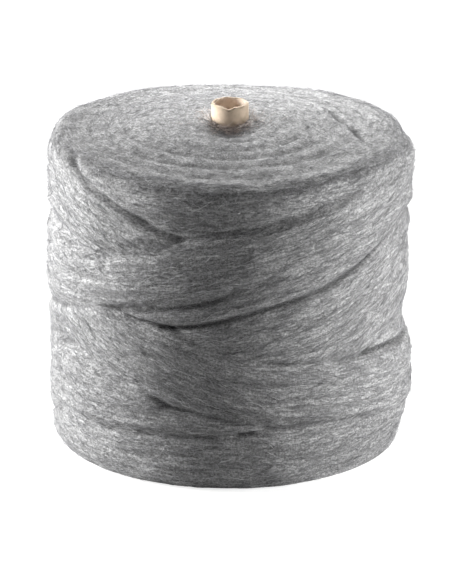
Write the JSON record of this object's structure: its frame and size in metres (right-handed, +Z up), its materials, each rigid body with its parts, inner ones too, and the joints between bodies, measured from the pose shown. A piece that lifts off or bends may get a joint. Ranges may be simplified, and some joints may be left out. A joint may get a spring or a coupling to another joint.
{
  "type": "steel wool roll",
  "caption": "Reel of wide grey steel wool ribbon, wound crosswise on a plain cardboard tube and standing on its end.",
  "frame": {"origin": "centre of the underside, where the roll stands, on the axis of the cardboard tube", "axes": "+Z up along the tube, out of the end where the tube stands proud; -Y is the front that the picture shows"},
  "size_m": [0.3, 0.2996, 0.285],
  "materials": {
    "steel_wool": "fine matted steel fibres, combed along each ribbon, dull grey with small bright glints",
    "cardboard": "matt wound paper, cream outside and browner inside, with a torn rim"
  },
  "bodies": {
    "root": {"wool_winding": "steel_wool", "cardboard_core": "cardboard"}
  },
  "joints": []
}
